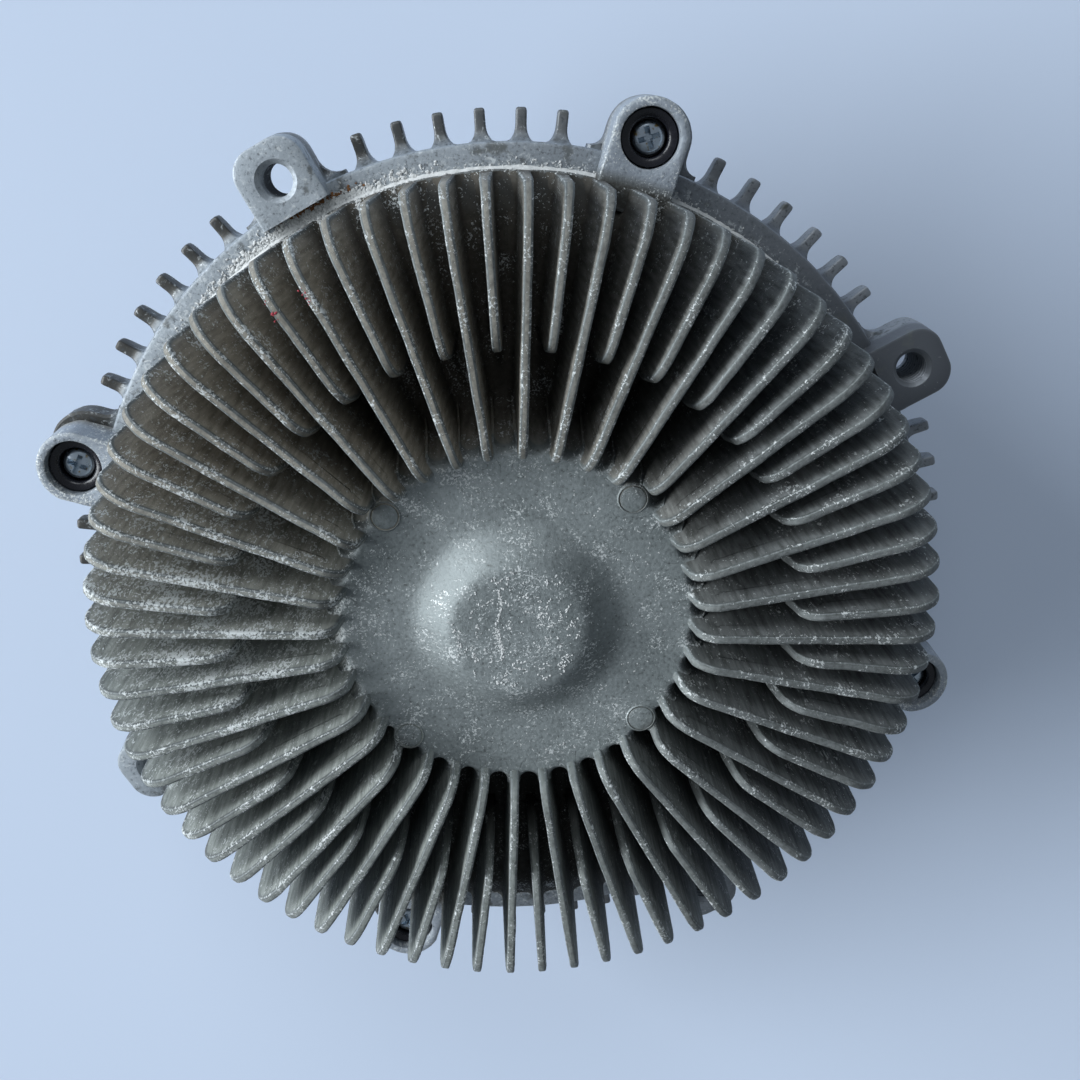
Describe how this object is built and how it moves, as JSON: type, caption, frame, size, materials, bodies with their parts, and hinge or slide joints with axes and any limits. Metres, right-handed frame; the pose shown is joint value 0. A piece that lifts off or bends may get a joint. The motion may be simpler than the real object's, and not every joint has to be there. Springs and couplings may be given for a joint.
{
  "type": "viscous fan clutch",
  "caption": "Viscous fan clutch with a radially finned round cover, threaded fan ears round its ring and a flanged input shaft at the back.",
  "frame": {"origin": "centre of the input flange's mounting face, which is the lowest plane of the part", "axes": "+Z along the clutch axis towards the finned cover, +Y towards the top of the picture"},
  "size_m": [0.205, 0.205, 0.093],
  "materials": {
    "cast_aluminium": "weathered die casting, dull and speckled",
    "machined_aluminium": "cast with turned faces, dull",
    "steel": "turned and ground",
    "zinc_plate": "bright zinc plate",
    "black_rubber": "smooth, slightly glossy",
    "brass": "stamped"
  },
  "bodies": {
    "shaft": {"input_shaft": "steel", "bearing_inner_ring": "steel", "rotor": "machined_aluminium", "rotor_washer": "zinc_plate", "rotor_nut": "zinc_plate"},
    "housing": {"rear_body": "machined_aluminium", "front_cover": "cast_aluminium", "bearing_outer_ring": "steel", "bearing_seal": "black_rubber", "bearing_circlip": "steel", "cover_screw_1": "zinc_plate", "cover_screw_2": "zinc_plate", "cover_screw_3": "zinc_plate", "cover_screw_4": "zinc_plate", "screw_cup_1": "black_rubber", "screw_cup_2": "black_rubber", "screw_cup_3": "black_rubber", "screw_cup_4": "black_rubber"},
    "cage": {"bearing_cage": "brass", "bearing_ball_1": "steel", "bearing_ball_2": "steel", "bearing_ball_3": "steel", "bearing_ball_4": "steel", "bearing_ball_5": "steel", "bearing_ball_6": "steel", "bearing_ball_7": "steel", "bearing_ball_8": "steel", "bearing_ball_9": "steel"}
  },
  "joints": [
    {"name": "housing_spin", "type": "hinge", "parent": "shaft", "child": "housing", "pos_m": [0, 0, 0.05], "axis": [0, 0, 1], "continuous": true},
    {"name": "cage_spin", "type": "hinge", "parent": "shaft", "child": "cage", "pos_m": [0, 0, 0.0332], "axis": [0, 0, 1], "continuous": true}
  ],
  "couplings": [
    {"joint": "cage_spin", "follows": "housing_spin", "ratio": 0.6031}
  ]
}
